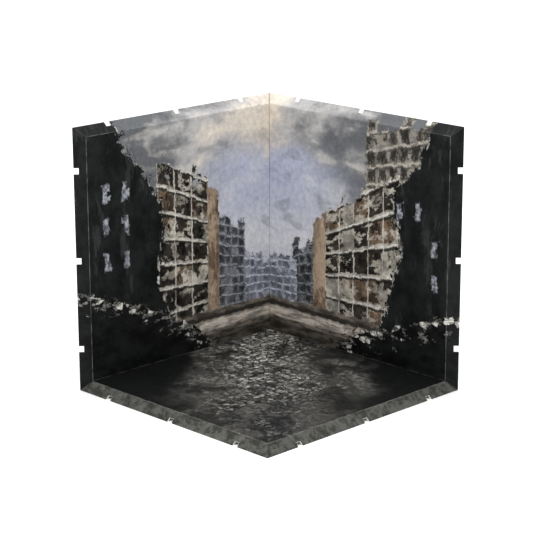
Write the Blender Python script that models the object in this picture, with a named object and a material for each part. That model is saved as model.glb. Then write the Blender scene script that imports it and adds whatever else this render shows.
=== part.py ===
"""Corner backdrop for tabletop figures: two wall panels and a floor panel.

Each panel is a printed sheet whose four rims fold back at 45 degrees, glued onto a moulded tray.
The folded rims of neighbouring panels meet face to face along the three inner seams, and three
clips per seam hold them together. Every rim has the same notches, so any rim takes clips.

World frame: metres, +Z up, origin under the middle of the backdrop at the height it stands on.
The left wall faces +X, the back wall faces -Y and the floor faces +Z.
"""
from math import pi, radians, sqrt

import bmesh
import bpy
from mathutils import Matrix, Vector

MM = 0.001

# Panels
PANEL_SIDE = 155.0 * MM       # one panel across its folded rims
RIM_DEPTH = 5.7 * MM          # from a panel's face to the plane its rims end in
SHEET_THICKNESS = 1.0 * MM
TRAY_WALL = 1.0 * MM
GLUE_GAP = 0.3 * MM           # between a sheet and its tray
SEAM_GAP = 0.3 * MM           # between the rims of two neighbouring panels

# Ribs on the back of a tray
RIBS_EACH_WAY = 2
RIB_WIDTH = 1.2 * MM
RIB_RECESS = 1.0 * MM         # from a rib's edge to the plane the rims end in

# Notches, alike on every rim of every sheet
NOTCHES_PER_RIM = 3
NOTCH_PITCH = 52.5 * MM
NOTCH_WIDTH = 3.6 * MM
NOTCH_DEPTH = 3.0 * MM        # along the slope of the rim, from its free edge

# Clips
CLIP_LENGTH = 11.0 * MM       # along the seam
CLIP_JAW = 1.2 * MM           # thickness of each jaw
CLIP_GRIP = 5.2 * MM          # how far the jaws reach in from the rims' free edges, along the slope
CLIP_GAP = 0.3 * MM           # between a clip and what it holds or passes

# Derived sizes
SLOPE = sqrt(2)               # slope length of a 45 degree face for each unit of its run
FACE_SIDE = PANEL_SIDE - 2 * RIM_DEPTH
RIM_SLOPE = RIM_DEPTH * SLOPE
FOLD_INSET = SEAM_GAP / SLOPE            # from the line where two face planes cross to either fold
FACE_REACH = FOLD_INSET + FACE_SIDE / 2  # from that line to the middle of a face
OVERALL = PANEL_SIDE + FOLD_INSET        # the backdrop measures this much along X, Y and Z
TRAY_OFFSET = SHEET_THICKNESS + GLUE_GAP
CUT_MARGIN = 2.0 * MM                    # how far cutting shapes run past what they cut

# The point where the three face planes cross
CORNER = Vector((RIM_DEPTH - OVERALL / 2, OVERALL / 2 - RIM_DEPTH, RIM_DEPTH))


def clear_scene():
    for obj in list(bpy.data.objects):
        bpy.data.objects.remove(obj, do_unlink=True)


def make_material(name, color, roughness):
    material = bpy.data.materials.new(name)
    material.use_nodes = True
    shader = material.node_tree.nodes["Principled BSDF"]
    shader.inputs["Base Color"].default_value = (*color, 1.0)
    shader.inputs["Roughness"].default_value = roughness
    shader.inputs["Metallic"].default_value = 0.0
    material.diffuse_color = (*color, 1.0)
    return material


def box(size, centre, turn=Matrix.Identity(4)):
    """A block of the given size. The turn is about the origin, after the block is centred."""
    shape = bmesh.new()
    place = turn @ Matrix.Translation(centre) @ Matrix.Diagonal((*size, 1.0))
    bmesh.ops.create_cube(shape, size=1.0, matrix=place)
    return shape


def frustum(half_side, top, bottom):
    """A square block whose sides slope out at 45 degrees below its top face."""
    depth = top - bottom
    place = Matrix.Translation((0, 0, (top + bottom) / 2)) @ Matrix.Rotation(pi / 4, 4, "Z")
    shape = bmesh.new()
    bmesh.ops.create_cone(
        shape,
        cap_ends=True,
        segments=4,
        radius1=(half_side + depth) * SLOPE,
        radius2=half_side * SLOPE,
        depth=depth,
        matrix=place,
    )
    return shape


def as_object(shape, name):
    mesh = bpy.data.meshes.new(name)
    shape.to_mesh(mesh)
    shape.free()
    obj = bpy.data.objects.new(name, mesh)
    bpy.context.scene.collection.objects.link(obj)
    return obj


def carve(body, tools, operation="DIFFERENCE"):
    """Cut the body by each tool in turn, or keep what they share. Returns the body as a shape."""
    blank = as_object(body, "blank")
    cutters = [as_object(tool, "cutter") for tool in tools]
    for cutter in cutters:
        cut = blank.modifiers.new("cut", "BOOLEAN")
        cut.operation = operation
        cut.object = cutter
    graph = bpy.context.evaluated_depsgraph_get()
    result = bmesh.new()
    result.from_object(blank, graph)
    for used in (blank, *cutters):
        bpy.data.objects.remove(used, do_unlink=True)
    return result


def notch_stations():
    """Distances of the notches from the middle of a rim."""
    middle = (NOTCHES_PER_RIM - 1) / 2
    return [(index - middle) * NOTCH_PITCH for index in range(NOTCHES_PER_RIM)]


def rim_cutters(width, slope_start, thickness):
    """Blocks square to the rims, at every notch station of all four rims.

    Each block runs from slope_start, measured down the slope from the fold, past the free edge.
    """
    length = RIM_SLOPE + CUT_MARGIN - slope_start
    middle = slope_start + length / 2
    lean = Matrix.Translation((FACE_SIDE / 2, 0, 0)) @ Matrix.Rotation(radians(45), 4, "Y")
    cutters = []
    for side in range(4):
        turn = Matrix.Rotation(side * pi / 2, 4, "Z") @ lean
        for station in notch_stations():
            cutters.append(box((length, width, 2 * thickness), (middle, station, 0), turn))
    return cutters


def sheet_shape():
    """The folded sheet: a flat face and four sloping rims, open at the back and notched."""
    outside = frustum(FACE_SIDE / 2, 0, -RIM_DEPTH)
    hollow_side = FACE_SIDE / 2 + SHEET_THICKNESS * (1 - SLOPE)
    hollow = frustum(hollow_side, -SHEET_THICKNESS, -RIM_DEPTH - CUT_MARGIN)
    notches = rim_cutters(NOTCH_WIDTH, RIM_SLOPE - NOTCH_DEPTH, SHEET_THICKNESS + CUT_MARGIN)
    return carve(outside, [hollow, *notches])


def tray_shape():
    """The moulded tray behind a sheet, with crossing ribs and bays for the clips' jaws."""
    outside_side = FACE_SIDE / 2 + TRAY_OFFSET * (1 - SLOPE)
    outside = frustum(outside_side, -TRAY_OFFSET, -RIM_DEPTH)
    inner_offset = TRAY_OFFSET + TRAY_WALL
    hollow_side = FACE_SIDE / 2 + inner_offset * (1 - SLOPE)
    hollow = frustum(hollow_side, -inner_offset, -RIM_DEPTH - CUT_MARGIN)

    rib_edge = RIB_RECESS - RIM_DEPTH
    rib_height = CUT_MARGIN - rib_edge
    rib_middle = rib_edge + rib_height / 2
    ribs = []
    for index in range(RIBS_EACH_WAY):
        offset = FACE_SIDE * ((index + 1) / (RIBS_EACH_WAY + 1) - 0.5)
        ribs.append(box((RIB_WIDTH, 2 * PANEL_SIDE, rib_height), (offset, 0, rib_middle)))
        ribs.append(box((2 * PANEL_SIDE, RIB_WIDTH, rib_height), (0, offset, rib_middle)))
    pockets = carve(hollow, ribs)

    bay_width = CLIP_LENGTH + 2 * CLIP_GAP
    bay_start = RIM_SLOPE - CLIP_GRIP - CLIP_GAP
    bays = rim_cutters(bay_width, bay_start, inner_offset + CUT_MARGIN)
    return carve(outside, [pockets, *bays])


def clip_shape():
    """A clip with its length along X, its jaws apart along Y and its back towards +Z.

    The origin is where the two face planes cross. The back is a ridge that stays inside the
    planes the panels' rims end in, and a bridge through the notches joins the jaws.
    """
    slot_side = SEAM_GAP / 2 + SHEET_THICKNESS + CLIP_GAP
    clip_side = slot_side + CLIP_JAW
    ridge = RIM_SLOPE - CLIP_GAP
    mouth = RIM_SLOPE - CLIP_GRIP
    bridge_start = RIM_SLOPE - NOTCH_DEPTH + CLIP_GAP
    bridge_width = NOTCH_WIDTH - 2 * CLIP_GAP

    height = ridge - mouth
    block = box((CLIP_LENGTH, 2 * clip_side, height), (0, 0, mouth + height / 2))
    roof_side = 2 * RIM_SLOPE
    roof_turn = Matrix.Translation((0, 0, ridge - roof_side / SLOPE)) @ Matrix.Rotation(pi / 4, 4, "X")
    roof = box((2 * CLIP_LENGTH, roof_side, roof_side), (0, 0, 0), roof_turn)
    ridged = carve(block, [roof], "INTERSECT")

    slot_depth = bridge_start - mouth + CUT_MARGIN
    slot = box((2 * CLIP_LENGTH, 2 * slot_side, slot_depth), (0, 0, bridge_start - slot_depth / 2))
    gap_length = CLIP_LENGTH
    gap_middle = (bridge_width + gap_length) / 2
    gap_size = (gap_length, 2 * slot_side, 2 * RIM_SLOPE)
    gaps = [box(gap_size, (side * gap_middle, 0, RIM_SLOPE)) for side in (-1, 1)]
    return carve(ridged, [slot, *gaps])


def shape_mesh(name, shape, material):
    mesh = bpy.data.meshes.new(name)
    shape.to_mesh(mesh)
    shape.free()
    mesh.materials.append(material)
    return mesh


def place(collection, name, mesh, matrix):
    obj = bpy.data.objects.new(name, mesh)
    obj.matrix_world = matrix
    collection.objects.link(obj)


def panel_places():
    """The middle and the turn of each panel's face, whose own normal is +Z."""
    reach = FACE_REACH
    return {
        "left_wall": Matrix.Translation(CORNER + Vector((0, -reach, reach)))
        @ Matrix.Rotation(radians(90), 4, "Y"),
        "back_wall": Matrix.Translation(CORNER + Vector((reach, 0, reach)))
        @ Matrix.Rotation(radians(90), 4, "X"),
        "floor": Matrix.Translation(CORNER + Vector((reach, -reach, 0))),
    }


def seam_clips():
    """For each clip: its name, the point on the crossing line beside it, and its turn."""
    seams = (
        ("corner_clip", ("low", "middle", "high"), Vector((0, 0, 1)), Vector((-1, 1, 0))),
        ("left_floor_clip", ("rear", "middle", "front"), Vector((0, -1, 0)), Vector((-1, 0, -1))),
        ("back_floor_clip", ("left", "middle", "right"), Vector((1, 0, 0)), Vector((0, 1, -1))),
    )
    for seam, labels, along, outward in seams:
        back = outward.normalized()
        turn = Matrix((along, back.cross(along), back)).transposed().to_4x4()
        for label, station in zip(labels, notch_stations()):
            point = CORNER + along * (FACE_REACH + station)
            yield f"{seam}_{label}", Matrix.Translation(point) @ turn


def build():
    clear_scene()
    collection = bpy.data.collections.new("corner_backdrop")
    bpy.context.scene.collection.children.link(collection)

    printed = make_material("printed_sheet", (0.32, 0.31, 0.29), 0.45)
    black = make_material("black_moulding", (0.02, 0.02, 0.022), 0.5)
    grey = make_material("clip_moulding", (0.05, 0.05, 0.055), 0.4)

    sheet = shape_mesh("sheet", sheet_shape(), printed)
    tray = shape_mesh("tray", tray_shape(), black)
    clip = shape_mesh("clip", clip_shape(), grey)

    for panel, matrix in panel_places().items():
        place(collection, f"{panel}_sheet", sheet, matrix)
        place(collection, f"{panel}_tray", tray, matrix)
    for name, matrix in seam_clips():
        place(collection, name, clip, matrix)


build()
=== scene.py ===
"""Looks of the corner backdrop: the printed pictures, the mouldings, the light and the camera.

The pictures of a ruined city are painted with shader nodes, in each panel's own coordinates:
across runs from 0 to 1 over a face from the viewer's left, and up from 0 to 1 from its lower edge.
On the folded rims both run on past 0 and 1, as on the flat sheet before it was folded.
"""

from math import cos, radians, sin, sqrt

import bmesh
import bpy
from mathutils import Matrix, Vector


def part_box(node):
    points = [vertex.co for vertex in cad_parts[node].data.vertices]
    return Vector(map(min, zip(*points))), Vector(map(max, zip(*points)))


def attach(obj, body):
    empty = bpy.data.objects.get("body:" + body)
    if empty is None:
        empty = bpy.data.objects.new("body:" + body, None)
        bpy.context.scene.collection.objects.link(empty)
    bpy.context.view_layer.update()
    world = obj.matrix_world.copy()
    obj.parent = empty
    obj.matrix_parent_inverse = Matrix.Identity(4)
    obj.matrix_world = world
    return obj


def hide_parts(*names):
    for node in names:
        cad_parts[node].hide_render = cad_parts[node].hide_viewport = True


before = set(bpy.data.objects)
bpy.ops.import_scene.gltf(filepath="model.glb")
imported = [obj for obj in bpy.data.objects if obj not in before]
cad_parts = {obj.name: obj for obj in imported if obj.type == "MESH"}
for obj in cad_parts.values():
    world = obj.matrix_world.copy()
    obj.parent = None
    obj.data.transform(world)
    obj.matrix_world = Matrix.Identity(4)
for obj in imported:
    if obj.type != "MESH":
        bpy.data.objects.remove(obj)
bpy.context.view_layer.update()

MM = 0.001

# How each seed moves a pattern, and how whole coordinates make one number
SEED_SHIFT = (17.3, 9.1)
COLUMN_STEP = 13.7
ROW_STEP = 3.1

# Panels: the way each faces, and the way its sheet is pushed to lie against the other two
FRONT = {
    "left_wall": Vector((1, 0, 0)),
    "back_wall": Vector((0, -1, 0)),
    "floor": Vector((0, 0, 1)),
}
SEAM_PUSH = 0.18 * MM
TOWARDS_SEAMS = {
    "left_wall": Vector((0, 1, -1)),
    "back_wall": Vector((-1, 0, -1)),
    "floor": Vector((-1, 1, 0)),
}
FOLD_RADIUS = 0.5 * MM
FOLD_SEGMENTS = 4

floor_low, floor_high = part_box("floor_sheet")
RIM_DEPTH = floor_high.z - floor_low.z
FACE_SIDE = floor_high.x - floor_low.x - 2 * RIM_DEPTH
RIM_STRETCH = sqrt(2) - 1          # extra length of a 45 degree rim for each unit of its depth

# Camera, at the photograph's viewing angle
CAMERA_DISTANCE = 1.081
CAMERA_TURN = radians(45.54)       # from looking along +Y towards looking along -X
CAMERA_RISE = radians(15.35)
CAMERA_ROLL = radians(-0.21)
CAMERA_TARGET = Vector((-0.0003, -0.0013, 0.0746))
CAMERA_LENS = 128.2                # for a sensor 36 mm wide


# ---------------------------------------------------------------------------------------------
# Painting with nodes


def linear(channel):
    """One channel of a screen colour, 0 to 255, as linear light."""
    share = channel / 255
    return share / 12.92 if share <= 0.04045 else ((share + 0.055) / 1.055) ** 2.4


def tone(red, green, blue):
    return (linear(red), linear(green), linear(blue), 1.0)


BLACK = tone(0, 0, 0)


def named(sockets, identifier):
    return next(socket for socket in sockets if socket.identifier == identifier)


def connect(tree, value, socket):
    """Feeds a socket with a field or a plain value."""
    if isinstance(value, Field):
        tree.links.new(value.socket, socket)
    else:
        socket.default_value = value


class Field:
    """A value or colour that varies over a picture: one output of a node."""

    def __init__(self, tree, socket):
        self.tree = tree
        self.socket = socket

    def math(self, operation, *others, reverse=False):
        node = self.tree.nodes.new("ShaderNodeMath")
        node.operation = operation
        terms = (*others, self) if reverse else (self, *others)
        for term, socket in zip(terms, node.inputs):
            connect(self.tree, term, socket)
        return Field(self.tree, node.outputs["Value"])

    def __add__(self, other):
        return self.math("ADD", other)

    __radd__ = __add__

    def __sub__(self, other):
        return self.math("SUBTRACT", other)

    def __rsub__(self, other):
        return self.math("SUBTRACT", other, reverse=True)

    def __mul__(self, other):
        return self.math("MULTIPLY", other)

    __rmul__ = __mul__

    def __truediv__(self, other):
        return self.math("DIVIDE", other)

    def size(self):
        return self.math("ABSOLUTE")

    def whole(self):
        return self.math("FLOOR")

    def part(self):
        return self.math("FRACT")

    def least(self, other):
        return self.math("MINIMUM", other)

    def most(self, other):
        return self.math("MAXIMUM", other)

    def ramp(self, low, high, start=0.0, end=1.0):
        """Runs smoothly from start to end as the value runs from low to high, level beyond."""
        node = self.tree.nodes.new("ShaderNodeMapRange")
        node.interpolation_type = "SMOOTHSTEP"
        settings = {"Value": self, "From Min": low, "From Max": high, "To Min": start, "To Max": end}
        for name, value in settings.items():
            connect(self.tree, value, node.inputs[name])
        return Field(self.tree, node.outputs["Result"])

    def line(self, low, high, start, end):
        """A straight line through (low, start) and (high, end), without limits."""
        slope = (end - start) / (high - low)
        return self.math("MULTIPLY_ADD", slope, start - low * slope)

    def curve(self, *points):
        """A chain of straight lines through the given points, level before and after them."""
        low, span = -0.2, 1.4
        place = (self - low) * (1 / span)
        node = self.tree.nodes.new("ShaderNodeFloatCurve")
        node.mapping.extend = "HORIZONTAL"
        knots = node.mapping.curves[0].points
        while len(knots) < len(points):
            knots.new(0.5, 0.5)
        for knot, (x, y) in zip(knots, points):
            knot.location = ((x - low) / span, (y - low) / span)
            knot.handle_type = "VECTOR"
        node.mapping.update()
        connect(self.tree, place, node.inputs["Value"])
        return Field(self.tree, node.outputs["Value"]).math("MULTIPLY_ADD", span, low)


class Sheet:
    """The coordinates of a picture and the patterns that are drawn in them."""

    def __init__(self, tree, across, up):
        self.tree = tree
        self.across = across
        self.up = up
        node = tree.nodes.new("ShaderNodeCombineXYZ")
        connect(tree, across, node.inputs["X"])
        connect(tree, up, node.inputs["Y"])
        self.place = self.mapped(node.outputs["Vector"], (1, 1, 1), (0, 0, 0))

    def mapped(self, place, scale, location):
        node = self.tree.nodes.new("ShaderNodeMapping")
        self.tree.links.new(place, node.inputs["Vector"])
        node.inputs["Scale"].default_value = scale
        node.inputs["Location"].default_value = location
        return node.outputs["Vector"]

    def spread(self, scale, seed, stretch):
        """The coordinates scaled and moved, so that each seed gives another part of a pattern."""
        shift = (SEED_SHIFT[0] * seed, SEED_SHIFT[1] * seed, 0)
        return self.mapped(self.place, (scale, scale * stretch, 1), shift)

    def noise_node(self, scale, seed, detail, stretch, roughness, swirl):
        place = self.spread(scale, seed, stretch)
        node = self.tree.nodes.new("ShaderNodeTexNoise")
        node.noise_dimensions = "2D"
        self.tree.links.new(place, node.inputs["Vector"])
        settings = {"Scale": 1.0, "Detail": detail, "Roughness": roughness, "Distortion": swirl}
        for name, value in settings.items():
            node.inputs[name].default_value = value
        return node

    def noise(self, scale, seed, detail=4.0, stretch=1.0, roughness=0.55, swirl=0.0):
        """Soft random shades around 0.5, about as many as scale across a face."""
        node = self.noise_node(scale, seed, detail, stretch, roughness, swirl)
        return Field(self.tree, node.outputs["Fac"])

    def cells_node(self, scale, seed, stretch, feature):
        place = self.spread(scale, seed, stretch)
        node = self.tree.nodes.new("ShaderNodeTexVoronoi")
        node.voronoi_dimensions = "2D"
        node.feature = feature
        self.tree.links.new(place, node.inputs["Vector"])
        node.inputs["Scale"].default_value = 1.0
        return node

    def stones(self, scale, seed, stretch):
        """Irregular cells: the distance from their edges, and a random shade for each."""
        edges = self.cells_node(scale, seed, stretch, "DISTANCE_TO_EDGE").outputs["Distance"]
        shades = self.cells_node(scale, seed, stretch, "F1").outputs["Color"]
        return Field(self.tree, edges), self.red_and_green(shades)[0]

    def red_and_green(self, colour):
        node = self.tree.nodes.new("ShaderNodeSeparateColor")
        self.tree.links.new(colour, node.inputs["Color"])
        return Field(self.tree, node.outputs["Red"]), Field(self.tree, node.outputs["Green"])

    def moved(self, pattern, amount):
        """The same picture, each point moved by a pattern of random colours."""
        sideways, upwards = self.red_and_green(pattern)
        across = self.across + (sideways - 0.5) * amount
        up = self.up + (upwards - 0.5) * amount
        return Sheet(self.tree, across, up)

    def warped(self, amount, scale, seed):
        """The same picture with its lines shaken."""
        return self.moved(self.noise_node(scale, seed, 4.0, 1.0, 0.6, 0.0).outputs["Color"], amount)

    def torn(self, amount, scale, seed):
        """The same picture with its edges broken, as angular as broken concrete."""
        pieces = self.moved(self.cells_node(scale, seed, 1.0, "F1").outputs["Color"], amount)
        return pieces.warped(amount * 1.2, scale * 1.7, seed)

    def block(self, left, right, low, high, soft=0.003):
        """A mask of an upright rectangle."""
        beside = (self.across - (left + right) / 2).size() - (right - left) / 2
        above = (self.up - (low + high) / 2).size() - (high - low) / 2
        return beside.most(above).ramp(soft, -soft)

    def front(self, left, right, low, high, low_right, high_right):
        """Coordinates from 0 to 1 on a building's front, whose lower and upper edges may slope."""
        across = self.across.line(left, right, 0.0, 1.0)
        base = self.across.line(left, right, low, low_right)
        height = self.across.line(left, right, high - low, high_right - low_right)
        return Sheet(self.tree, across, (self.up - base) / height)

    def random(self, seed):
        """A random value for each whole step of the coordinates."""
        number = self.across.whole().math("MULTIPLY_ADD", COLUMN_STEP, seed)
        number = self.up.whole().math("MULTIPLY_ADD", ROW_STEP, number)
        node = self.tree.nodes.new("ShaderNodeTexWhiteNoise")
        node.noise_dimensions = "1D"
        connect(self.tree, number, node.inputs["W"])
        return Field(self.tree, node.outputs["Value"])

    def grid(self, columns, rows):
        """Cells in rows and columns: the coordinates inside each cell, and those that count them."""
        count = Sheet(self.tree, self.across * columns, self.up * rows)
        return Sheet(self.tree, count.across.part(), count.up.part()), count

    def grime(self, seed, scale, stretch, low, high):
        """Dark and light of rough, dirty masonry, as a factor for its colour."""
        stain = self.noise(scale, seed, 9.0, stretch, 0.74)
        return stain.ramp(0.36, 0.64, low, high)

    def cracks(self, seed, scale):
        """A mask of thin branching lines."""
        ragged = self.noise(scale, seed, 8.0, roughness=0.6)
        patches = self.noise(scale * 0.6, seed + 1, 3.0).ramp(0.45, 0.58)
        return (ragged - 0.5).size().ramp(0.016, 0.006) * patches


class Painting:
    """A colour that is laid down layer on layer."""

    def __init__(self, tree, colour):
        self.tree = tree
        self.colour = colour

    def lay(self, colour, mask, shade=None):
        """Lays a colour, darker and lighter by the shade, where the mask is 1."""
        self.mix(colour, mask)
        if shade is not None:
            self.mix(scaled(self.tree, self.colour, shade), mask)

    def shade(self, amount):
        self.colour = scaled(self.tree, self.colour, amount)

    def mix(self, colour, mask):
        node = self.tree.nodes.new("ShaderNodeMix")
        node.data_type = "RGBA"
        connect(self.tree, mask, named(node.inputs, "Factor_Float"))
        connect(self.tree, self.colour, named(node.inputs, "A_Color"))
        connect(self.tree, colour, named(node.inputs, "B_Color"))
        self.colour = Field(self.tree, named(node.outputs, "Result_Color"))


def scaled(tree, colour, amount):
    """A colour times a factor that varies."""
    node = tree.nodes.new("ShaderNodeMix")
    node.data_type = "RGBA"
    node.clamp_factor = False
    connect(tree, amount, named(node.inputs, "Factor_Float"))
    connect(tree, BLACK, named(node.inputs, "A_Color"))
    connect(tree, colour, named(node.inputs, "B_Color"))
    return Field(tree, named(node.outputs, "Result_Color"))


# ---------------------------------------------------------------------------------------------
# Parts of the picture that come more than once

# Colours of the sky
STORM_CLOUD = tone(96, 98, 101)
CLOUD = tone(178, 176, 175)
LIT_CLOUD = tone(216, 206, 193)
LAVENDER_SKY = tone(178, 183, 202)
HAZE = tone(208, 208, 213)
BRIGHT_WISP = tone(226, 220, 212)
DARK_WISP = tone(96, 98, 102)

# Colours of the street, from its far end to the foot of the picture
STREET = tone(104, 97, 88)
GUTTER = tone(34, 32, 29)
KERB = tone(192, 183, 172)
NEAR_STREET = tone(70, 66, 60)

# Colours of the blocks
FAR_WALL = tone(160, 163, 174)
FAR_OPENING = tone(108, 112, 124)
GREY_WALL = tone(120, 122, 127)
GREY_OPENING = tone(60, 62, 67)
SLATE_WALL = tone(104, 106, 110)
SLATE_OPENING = tone(48, 49, 53)
BROWN_WALL = tone(132, 127, 119)
BROWN_OPENING = tone(52, 49, 45)
PLASTER = tone(172, 167, 156)
RUST = tone(108, 90, 74)
DARK_ROOM = tone(30, 28, 25)
HOLE = tone(40, 35, 29)
CLADDING = tone(168, 162, 150)
CRACK = tone(52, 48, 43)
UNDER_FLOOR = tone(20, 18, 16)
TAN_WALL = tone(158, 139, 119)
TAN_STAIN = tone(92, 74, 59)
TAN_CRACK = tone(64, 52, 42)
PALE_EDGE = tone(206, 203, 196)

# Colours of what stands or lies close by
NIGHT = tone(11, 12, 12)
BLACK_WALL = tone(17, 19, 19)
WINDOW_SKY = tone(142, 145, 153)
SCUFF = tone(58, 60, 59)
BLACK_HEAP = tone(13, 14, 14)
DEBRIS = tone(104, 103, 99)
BARE_FLOOR = tone(19, 20, 20)
RUBBLE = tone(102, 101, 97)
SLAB = tone(100, 98, 93)
FLOOR_SHADOW = tone(15, 16, 16)
# A lighter grey laid over the floor's front rims
FRONT_RIM_GREY = tone(72, 72, 68)

# Broken edges: how far they move, how fine the pieces are and the seed, which each block adds itself
FAR_BREAKS = (0.010, 44.0, 7.0)
NEAR_BREAKS = (0.022, 34.0, 5.0)
BLOCK_BREAKS = (0.007, 34.0)

STREET_TOP = 0.155


def paint_sky(sheet, seam, seed, dusk):
    """Cloud lit from the seam, with clear lavender sky lower down and haze below."""
    away = (sheet.across - seam).size()
    billow = sheet.noise(2.3, seed, 9.0, 1.4, 0.54, 0.2)
    wisps = sheet.noise(5.5, seed + 2, 9.0, 1.9, 0.54, 0.2)
    light = 0.95 - away * dusk + (billow - 0.5) * 2.0 + (wisps - 0.5) * 0.9
    picture = Painting(sheet.tree, STORM_CLOUD)
    picture.lay(CLOUD, light.ramp(0.0, 0.60))
    picture.lay(LIT_CLOUD, light.ramp(0.55, 1.05))
    clear = (sheet.up + (billow - 0.5) * 0.30 + (wisps - 0.5) * 0.2).ramp(0.86, 0.72)
    picture.lay(LAVENDER_SKY, clear * away.ramp(0.62, 0.12) * 0.9)
    picture.lay(HAZE, sheet.up.ramp(0.66, 0.42) * 0.85)
    picture.lay(BRIGHT_WISP, wisps.ramp(0.54, 0.70) * 0.25)
    picture.lay(DARK_WISP, wisps.ramp(0.46, 0.30) * 0.35)
    return picture


def lay_flats(picture, sheet, outline, columns, rows, wall, hole, seed):
    """A gutted block of flats: rows of openings under a broken top."""
    front = sheet.front(*outline)
    cell, count = front.grid(columns, rows)
    bays = Sheet(sheet.tree, count.across, front.up * 0.0)
    crest = 1.0 - bays.random(seed) * (1.5 / rows) - (sheet.noise(50.0, seed) - 0.5) * (2.0 / rows)
    beside = (front.across - 0.5).size() - 0.5 + (sheet.noise(40.0, seed + 5) - 0.5) * 0.12
    mask = beside.ramp(0.02, -0.01) * (crest - front.up).ramp(-0.01, 0.01)
    grime = sheet.grime(seed + 1, 22.0, 0.6, 0.55, 1.3)
    picture.lay(wall, mask, grime)
    openness = count.random(seed + 2)
    opening = cell.block(0.14, 0.80, 0.10, 0.74, 0.08) * openness.ramp(0.12, 0.4)
    wreck = sheet.noise(14.0, seed + 3, 7.0, roughness=0.75).ramp(0.52, 0.57)
    picture.lay(hole, mask * opening.most(wreck * cell.block(0.02, 0.98, 0.04, 0.84, 0.06) * 0.9), grime)
    rails = (cell.across * 3.0).part().ramp(0.55, 0.85) * cell.up.ramp(0.35, 0.30)
    picture.lay(wall, mask * opening * rails * 0.5, grime)
    ledge = cell.up.ramp(0.84, 0.92) * sheet.noise(40.0, seed + 4).ramp(0.38, 0.5)
    picture.lay(scaled(sheet.tree, wall, 2.0), mask * ledge * 0.8)
    picture.lay(hole, mask * cell.up.ramp(0.70, 0.76) * cell.up.ramp(0.84, 0.80) * 0.7)


def lay_wires(picture, sheet, depth, reach, seed):
    """A tangle of bent bars that stands out of a broken edge, where depth is just under 0."""
    bent = sheet.warped(0.03, 14.0, seed)
    first = (bent.noise(15.0, seed + 1, 1.0) - 0.5).size()
    second = (bent.noise(21.0, seed + 2, 1.0, 0.6) - 0.5).size()
    lines = first.least(second).ramp(0.018, 0.009)
    clumps = sheet.noise(11.0, seed + 3, 3.0).ramp(0.44, 0.54)
    picture.lay(NIGHT, lines * clumps * depth.ramp(-reach, -reach * 0.5))


def lay_mass(picture, sheet, depth, colour, shade, seed, lit, wires):
    """A mass of masonry where depth is above 0, with wires and a lit edge where it is broken."""
    lay_wires(picture, sheet, depth, wires, seed + 20)
    picture.lay(colour, depth.ramp(-0.002, 0.002), shade)
    edge = depth.ramp(0.010, 0.004) * depth.ramp(-0.001, 0.002)
    broken = sheet.noise(15.0, seed, 7.0, roughness=0.7).ramp(0.48, 0.58)
    picture.lay(PALE_EDGE, edge * broken * lit)


def lay_ground(picture, sheet, seed):
    """A street with its kerb along the foot of the picture."""
    streaks = sheet.noise(9.0, seed, 9.0, 5.0, 0.7).ramp(0.38, 0.62, 0.35, 1.35)
    level = sheet.up / STREET_TOP
    edge = (sheet.noise(30.0, seed + 1, 5.0) - 0.5) * 0.3
    picture.lay(STREET, (level + edge).ramp(1.08, 0.96), streaks)
    picture.lay(GUTTER, (level + edge * 0.5 - 0.82).size().ramp(0.10, 0.04) * 0.8)
    picture.lay(KERB, (level + edge * 0.4 - 0.60).size().ramp(0.19, 0.10) * 0.85, streaks)
    picture.lay(NEAR_STREET, level.ramp(0.36, 0.28), streaks)


# ---------------------------------------------------------------------------------------------
# The walls: a street of ruined blocks, with black masonry and rubble at the outer sides


def lay_gutted_block(picture, sheet, outline, bays, floors, seed):
    """A block with its front blown out: its floors and posts, and rooms dark or still clad."""
    front = sheet.torn(*BLOCK_BREAKS, seed).front(*outline)
    ragged = (sheet.noise(16.0, seed + 1, 7.0, roughness=0.7) - 0.5) * 0.5
    depth = front.across.least(1.0 - front.across).least(1.0 - front.up + ragged).least(front.up)
    mask = depth.ramp(-0.008, 0.008)
    stain = sheet.grime(seed + 2, 12.0, 0.8, 0.4, 1.3)
    gloom = sheet.grime(seed + 3, 16.0, 0.8, 0.2, 2.8)
    cell, count = front.grid(bays, floors)
    kind = count.random(seed + 4)
    panel = cell.block(0.04, 0.96, 0.10, 0.90, 0.03) * mask
    picture.lay(PLASTER, mask, stain)
    rusty = kind.ramp(0.76, 0.77)
    rust = rusty * (front.noise(2.6, seed + 5, 8.0, 1.3, 0.65) + cell.up * 0.1).ramp(0.47, 0.52)
    picture.lay(RUST, panel * rust, stain)
    picture.lay(DARK_ROOM, panel * kind.ramp(0.60, 0.59), gloom)
    holes = (front.noise(3.4, seed + 6, 9.0, 1.4, 0.66) - cell.up * 0.05).ramp(0.52, 0.55)
    picture.lay(HOLE, panel * holes, gloom)
    hung = (front.noise(4.0, seed + 7, 9.0, 2.4, 0.66) + cell.up * 0.06).ramp(0.57, 0.60)
    picture.lay(CLADDING, panel * hung * 0.9, stain)
    picture.lay(CRACK, mask * sheet.cracks(seed + 8, 9.0) * 0.75)
    rough = sheet.noise(40.0, seed + 9, 5.0, roughness=0.7)
    picture.lay(UNDER_FLOOR, mask * cell.up.ramp(0.82, 0.88) * cell.up.ramp(0.96, 0.93) * 0.9)
    picture.lay(PALE_EDGE, mask * (cell.up - 0.5).size().ramp(0.460, 0.480) * rough.ramp(0.43, 0.5))
    posts = (cell.across - 0.5).size().ramp(0.475, 0.488) * rough.ramp(0.40, 0.47)
    picture.lay(PALE_EDGE, mask * posts * count.random(seed + 10).ramp(0.4, 0.41))


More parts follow.
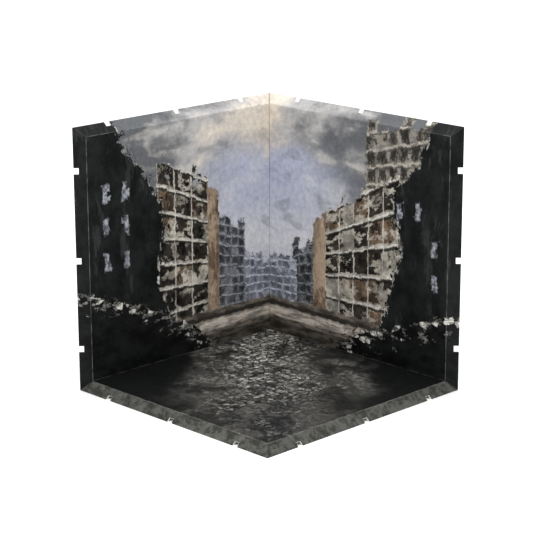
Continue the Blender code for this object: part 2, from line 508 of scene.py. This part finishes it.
def lay_end_wall(picture, sheet, outline, seed):
    """The plain tan end of a block."""
    front = sheet.torn(*BLOCK_BREAKS, seed).front(*outline)
    ragged = (sheet.noise(16.0, seed + 1, 7.0, roughness=0.7) - 0.5) * 0.4
    depth = front.across.least(1.0 - front.across).least(1.0 - front.up + ragged)
    wall = depth.ramp(-0.01, 0.01)
    stain = sheet.grime(seed + 2, 8.0, 0.5, 0.5, 1.3)
    picture.lay(TAN_WALL, wall, stain)
    stained = wall * sheet.noise(10.0, seed + 3, 9.0, 0.4, 0.75).ramp(0.50, 0.57) * 0.8
    picture.lay(TAN_STAIN, stained, stain)
    picture.lay(TAN_CRACK, wall * sheet.cracks(seed + 4, 12.0) * 0.8)


def lay_black_wall(picture, sheet, depth, windows, seed):
    """Black masonry close by, with the sky in some of its windows."""
    grime = sheet.grime(seed, 9.0, 0.7, 0.5, 2.0)
    lay_mass(picture, sheet, depth, BLACK_WALL, grime, seed + 1, lit=0.6, wires=0.035)
    cell, count = sheet.torn(0.018, 30.0, seed + 2).front(*windows).grid(3, 3)
    inside = sheet.front(*windows).block(0.0, 1.0, 0.0, 1.0) * depth.ramp(0.01, 0.02)
    opening = cell.block(0.36, 0.64, 0.28, 0.74, 0.04) * count.random(seed + 3).ramp(0.55, 0.56)
    picture.lay(WINDOW_SKY, inside * opening, sheet.grime(seed + 4, 34.0, 1.0, 0.15, 1.4))
    scuffs = sheet.noise(14.0, seed + 5, 7.0, 0.25, 0.7).ramp(0.56, 0.66)
    picture.lay(SCUFF, depth.ramp(0.0, 0.02) * scuffs * 0.5)


def lay_heap(picture, sheet, depth, seed):
    """A black heap with pale debris and bent bars on its crest."""
    grime = sheet.grime(seed, 9.0, 1.6, 0.5, 2.2)
    lay_mass(picture, sheet, depth, BLACK_HEAP, grime, seed + 1, lit=0.15, wires=0.06)
    upper = depth.ramp(0.13, 0.0) * depth.ramp(0.0, 0.006)
    debris = sheet.noise(17.0, seed + 2, 9.0, 1.6, 0.72) + (upper - 1.0) * 0.13
    fine = sheet.grime(seed + 3, 60.0, 1.3, 0.05, 1.9)
    picture.lay(DEBRIS, debris.ramp(0.51, 0.55) * upper.ramp(0.0, 0.2), fine)
    distance, shade = sheet.warped(0.012, 30.0, seed + 4).stones(30.0, seed + 5, 1.6)
    blocks = (shade + (upper - 1.0) * 0.3).ramp(0.80, 0.84) * distance.ramp(0.04, 0.12) * upper.ramp(0.0, 0.1)
    picture.lay(PALE_EDGE, blocks, sheet.grime(seed + 6, 44.0, 1.3, 0.3, 1.2))


def paint_left_wall(sheet):
    picture = paint_sky(sheet, 1.0, 3.0, 1.2)
    crooked = sheet.torn(*FAR_BREAKS)
    torn = sheet.torn(*NEAR_BREAKS)
    lay_flats(picture, crooked, (0.80, 1.04, 0.12, 0.40, 0.12, 0.34), 6, 7, FAR_WALL, FAR_OPENING, 11.0)
    lay_flats(picture, crooked, (0.66, 0.85, 0.12, 0.60, 0.12, 0.52), 5, 10, GREY_WALL, GREY_OPENING, 13.0)
    lay_gutted_block(picture, sheet, (0.36, 0.64, 0.08, 0.86, 0.12, 0.72), 3, 7, 21.0)
    lay_end_wall(picture, sheet, (0.635, 0.70, 0.10, 0.71, 0.11, 0.66), 35.0)
    lay_ground(picture, sheet, 71.0)
    edge = torn.up.curve((0.0, 0.48), (0.35, 0.36), (0.62, 0.40), (0.80, 0.30), (0.95, 0.16))
    lay_black_wall(picture, sheet, edge - torn.across, (0.04, 0.34, 0.40, 0.84, 0.40, 0.80), 51.0)
    crest = torn.across.curve((0.0, 0.36), (0.30, 0.25), (0.55, 0.11), (0.74, -0.04))
    lay_heap(picture, sheet, crest - torn.up, 73.0)
    return picture


def paint_back_wall(sheet):
    picture = paint_sky(sheet, 0.0, 8.0, 2.0)
    crooked = sheet.torn(*FAR_BREAKS)
    torn = sheet.torn(*NEAR_BREAKS)
    lay_flats(picture, crooked, (0.56, 0.92, 0.40, 1.02, 0.40, 1.14), 6, 9, BROWN_WALL, BROWN_OPENING, 143.0)
    lay_flats(picture, crooked, (0.14, 0.33, 0.12, 0.44, 0.12, 0.52), 5, 8, SLATE_WALL, SLATE_OPENING, 145.0)
    lay_flats(picture, crooked, (-0.04, 0.16, 0.12, 0.34, 0.12, 0.38), 5, 7, FAR_WALL, FAR_OPENING, 147.0)
    lay_gutted_block(picture, sheet, (0.33, 0.74, 0.13, 0.58, 0.09, 0.80), 5, 5, 161.0)
    lay_end_wall(picture, sheet, (0.26, 0.335, 0.12, 0.52, 0.12, 0.58), 175.0)
    lay_ground(picture, sheet, 151.0)
    edge = torn.up.curve((0.0, 0.60), (0.25, 0.68), (0.50, 0.76), (0.72, 0.70), (0.86, 0.84), (1.0, 0.90))
    lay_black_wall(picture, sheet, torn.across - edge, (0.70, 0.98, 0.30, 0.72, 0.32, 0.76), 111.0)
    crest = torn.across.curve((0.34, -0.04), (0.52, 0.10), (0.76, 0.17), (1.0, 0.27))
    lay_heap(picture, sheet, crest - torn.up, 133.0)
    return picture


# ---------------------------------------------------------------------------------------------
# Floor: rubble strewn from the corner to the front


def paint_floor(sheet):
    drift = sheet.noise(3.2, 161.0, 6.0)
    forward = (sheet.across + (1.0 - sheet.up)) * 0.5
    beside = (sheet.across + sheet.up - 1.0) * 0.7
    density = ((drift - 0.5) * 0.6 - beside.size()).ramp(-0.42, -0.02)
    picture = Painting(sheet.tree, BARE_FLOOR)
    lumps = sheet.warped(0.02, 20.0, 163.0)
    small_edge, small_shade = lumps.stones(38.0, 165.0, 0.9)
    large_edge, large_shade = lumps.stones(12.0, 167.0, 0.8)
    grit = sheet.noise(46.0, 169.0, 8.0, 0.9, 0.78).ramp(0.40, 0.60, 0.1, 1.9)
    pebbles = small_shade.ramp(0.25, 0.80, 0.4, 1.6) * small_edge.ramp(0.02, 0.16, 0.08, 1.1)
    haze = forward.ramp(0.1, 0.9, 1.9, 0.3)
    picture.lay(RUBBLE, density, pebbles * grit * haze)
    slabs = large_shade.ramp(0.60, 0.66) * large_edge.ramp(0.02, 0.10) * density.ramp(0.02, 0.5)
    picture.lay(SLAB, slabs * 0.7, grit * haze * 0.8)
    picture.lay(FLOOR_SHADOW, sheet.noise(6.0, 173.0, 8.0, roughness=0.7).ramp(0.49, 0.40) * 0.75)
    # The front rims are laid over with a lighter grey, in streaks
    front_rims = sheet.up.ramp(0.0, -0.004).most(sheet.across.ramp(1.0, 1.004))
    rim_streaks = sheet.noise(22.0, 175.0, 8.0, 1.0, 0.78).ramp(0.40, 0.60, 0.45, 1.7)
    picture.lay(FRONT_RIM_GREY, front_rims * 0.85, rim_streaks)
    return picture


# ---------------------------------------------------------------------------------------------
# Materials

SHEET_CORE = tone(214, 212, 206)
# Pale line along the folds: a painted highlight
FOLD_HIGHLIGHT = tone(150, 150, 146)
MITRE_LINE = tone(60, 60, 58)
PRINT_SPECULAR = 0.09
TRAY_COLOUR = tone(30, 30, 32)
CLIP_COLOUR = tone(44, 45, 47)


def new_material(name):
    material = bpy.data.materials.new(name)
    material.use_nodes = True
    return material, material.node_tree, material.node_tree.nodes["Principled BSDF"]


def add_bump(tree, shader, height, strength, distance):
    bump = tree.nodes.new("ShaderNodeBump")
    bump.inputs["Strength"].default_value = strength
    bump.inputs["Distance"].default_value = distance
    connect(tree, height, bump.inputs["Height"])
    tree.links.new(bump.outputs["Normal"], shader.inputs["Normal"])


def flattened(run):
    """A place on the sheet before it was folded, from 0 to 1, for a place run from a face's middle."""
    past = (run.size() - 0.5).most(0.0)
    return run + run.math("SIGN") * past * RIM_STRETCH + 0.5


def panel_runs(tree, panel):
    """How far each point is to the right of a face's middle and above it, in face sides."""
    split = tree.nodes.new("ShaderNodeSeparateXYZ")
    tree.links.new(tree.nodes.new("ShaderNodeTexCoord").outputs["Object"], split.inputs["Vector"])
    low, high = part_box(f"{panel}_sheet")
    middle = (low + high) / 2
    axes = {"left_wall": "YZ", "back_wall": "XZ", "floor": "XY"}[panel]
    runs = []
    for axis in axes:
        centre = getattr(middle, axis.lower())
        runs.append((Field(tree, split.outputs[axis]) - centre) * (1 / FACE_SIDE))
    return runs


def front_mask(tree, panel):
    """1 on the printed front and its rims, 0 on the cut edges and the back."""
    facing = tree.nodes.new("ShaderNodeVectorMath")
    facing.operation = "DOT_PRODUCT"
    tree.links.new(tree.nodes.new("ShaderNodeTexCoord").outputs["Normal"], facing.inputs[0])
    facing.inputs[1].default_value = FRONT[panel]
    return Field(tree, facing.outputs["Value"]).ramp(0.3, 0.4)


PAINTERS = {"left_wall": paint_left_wall, "back_wall": paint_back_wall, "floor": paint_floor}


def print_material(panel):
    """A satin print on a white plastic core, which shows at the cut edges and on the back."""
    material, tree, shader = new_material(f"{panel}_print")
    run_across, run_up = panel_runs(tree, panel)
    sheet = Sheet(tree, flattened(run_across), flattened(run_up))
    printed = PAINTERS[panel](sheet)
    printed.shade(sheet.noise(44.0, 191.0, 6.0, roughness=0.7).ramp(0.3, 0.7, 0.88, 1.12))
    outside = run_across.size().most(run_up.size()) - 0.5
    # A pale line along each fold: a painted highlight, broken up by noise
    highlight_strength = sheet.noise(24.0, 193.0, 4.0).ramp(0.35, 0.65, 0.08, 0.38)
    printed.lay(FOLD_HIGHLIGHT, (outside - 0.001).size().ramp(0.0016, 0.0004) * highlight_strength)
    mitre = (run_across.size() - run_up.size()).size().ramp(0.0018, 0.0006) * outside.ramp(0.0, 0.002)
    printed.lay(MITRE_LINE, mitre * 0.8)
    picture = Painting(tree, SHEET_CORE)
    picture.shade(sheet.noise(60.0, 195.0, 3.0).ramp(0.3, 0.7, 0.93, 1.03))
    picture.lay(printed.colour, front_mask(tree, panel))
    connect(tree, picture.colour, shader.inputs["Base Color"])
    connect(tree, sheet.noise(30.0, 197.0, 3.0).ramp(0.3, 0.7, 0.36, 0.50), shader.inputs["Roughness"])
    shader.inputs["Specular IOR Level"].default_value = PRINT_SPECULAR
    add_bump(tree, shader, sheet.noise(420.0, 199.0, 2.0), 0.12, 0.02 * MM)
    return material


def moulded_material(name, colour, smooth, rough, grain):
    """Fine-grained moulded plastic, its roughness between the two given."""
    material, tree, shader = new_material(name)
    place = tree.nodes.new("ShaderNodeTexCoord").outputs["Object"]

    def speckle(scale, detail):
        node = tree.nodes.new("ShaderNodeTexNoise")
        tree.links.new(place, node.inputs["Vector"])
        node.inputs["Scale"].default_value = scale
        node.inputs["Detail"].default_value = detail
        return Field(tree, node.outputs["Fac"])

    clouds = speckle(60.0, 4.0)
    fine = speckle(grain, 2.0)
    connect(tree, scaled(tree, colour, clouds.ramp(0.3, 0.7, 0.8, 1.25)), shader.inputs["Base Color"])
    roughness = (clouds * 0.6 + fine * 0.4).ramp(0.35, 0.65, smooth, rough)
    connect(tree, roughness, shader.inputs["Roughness"])
    add_bump(tree, shader, fine, 0.35, 0.03 * MM)
    return material


# ---------------------------------------------------------------------------------------------
# Pieces


def link(obj):
    bpy.context.scene.collection.objects.link(obj)
    return obj


def folded_sheet(panel, material):
    """The printed sheet with rounded folds, lying against its neighbours at the seams."""
    node = f"{panel}_sheet"
    shape = bmesh.new()
    shape.from_mesh(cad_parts[node].data)
    bmesh.ops.remove_doubles(shape, verts=shape.verts, dist=0.001 * MM)
    bmesh.ops.dissolve_limit(shape, angle_limit=radians(1), verts=shape.verts, edges=shape.edges)
    facing = {face: face.normal.dot(FRONT[panel]) for face in shape.faces}
    folds = []
    for edge in shape.edges:
        sides = [facing[face] for face in edge.link_faces]
        if min(sides) > 0.5 and max(sides) - min(sides) > 0.1:
            folds.append(edge)
    rounded = bmesh.ops.bevel(
        shape,
        geom=folds,
        offset=FOLD_RADIUS,
        segments=FOLD_SEGMENTS,
        profile=0.5,
        affect="EDGES",
    )
    for face in rounded["faces"]:
        face.smooth = True
    bmesh.ops.translate(shape, verts=shape.verts, vec=TOWARDS_SEAMS[panel] * SEAM_PUSH)
    mesh = bpy.data.meshes.new(f"{panel}_folded")
    shape.to_mesh(mesh)
    shape.free()
    mesh.materials.append(material)
    piece = link(bpy.data.objects.new(f"{panel}_folded", mesh))
    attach(piece, "panels")
    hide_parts(node)


def dress(node, material):
    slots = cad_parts[node].data.materials
    slots.clear()
    slots.append(material)


def dress_model():
    tray = moulded_material("tray_plastic", TRAY_COLOUR, 0.5, 0.68, 2600.0)
    clip = moulded_material("clip_plastic", CLIP_COLOUR, 0.32, 0.45, 1800.0)
    for panel in FRONT:
        folded_sheet(panel, print_material(panel))
        dress(f"{panel}_tray", tray)
    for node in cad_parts:
        if "_clip_" in node:
            dress(node, clip)


# ---------------------------------------------------------------------------------------------
# Stage, light and camera

PAPER = (0.92, 0.92, 0.92, 1)
GROUND_REACH = 12.0                # from the middle to each side, in metres
LIGHT_AIM = Vector((0, 0, 0.06))


def add_ground():
    shape = bmesh.new()
    bmesh.ops.create_grid(shape, x_segments=1, y_segments=1, size=GROUND_REACH)
    mesh = bpy.data.meshes.new("studio_floor")
    shape.to_mesh(mesh)
    shape.free()
    material, _, shader = new_material("studio_paper")
    shader.inputs["Base Color"].default_value = PAPER
    shader.inputs["Roughness"].default_value = 1.0
    shader.inputs["Specular IOR Level"].default_value = 0.0
    mesh.materials.append(material)
    link(bpy.data.objects.new("studio_floor", mesh))


def add_light(name, place, side, power):
    data = bpy.data.lights.new(name, "AREA")
    data.shape = "SQUARE"
    data.size = side
    data.energy = power
    lamp = link(bpy.data.objects.new(name, data))
    lamp.location = place
    lamp.rotation_euler = (LIGHT_AIM - Vector(place)).to_track_quat("-Z", "Y").to_euler()


def add_lights():
    world = bpy.data.worlds.new("studio")
    bpy.context.scene.world = world
    world.use_nodes = True
    background = world.node_tree.nodes["Background"]
    background.inputs["Color"].default_value = (1, 1, 1, 1)
    background.inputs["Strength"].default_value = 1.1
    add_light("overhead", (-0.25, 0.25, 1.1), 0.8, 8.0)
    add_light("front_fill", (1.2, -1.3, 0.8), 1.2, 4.0)


def add_camera():
    data = bpy.data.cameras.new("camera")
    data.lens = CAMERA_LENS
    data.sensor_width = 36.0
    data.clip_start = 0.01
    camera = link(bpy.data.objects.new("camera", data))
    level = Vector((sin(CAMERA_TURN), -cos(CAMERA_TURN), 0)) * cos(CAMERA_RISE)
    back = level + Vector((0, 0, sin(CAMERA_RISE)))
    camera.location = CAMERA_TARGET + back * CAMERA_DISTANCE
    camera.rotation_euler = (-back).to_track_quat("-Z", "Y").to_euler()
    camera.rotation_euler.rotate_axis("Z", CAMERA_ROLL)
    bpy.context.scene.camera = camera
    bpy.context.scene.view_settings.view_transform = "Standard"


dress_model()
add_ground()
add_lights()
add_camera()
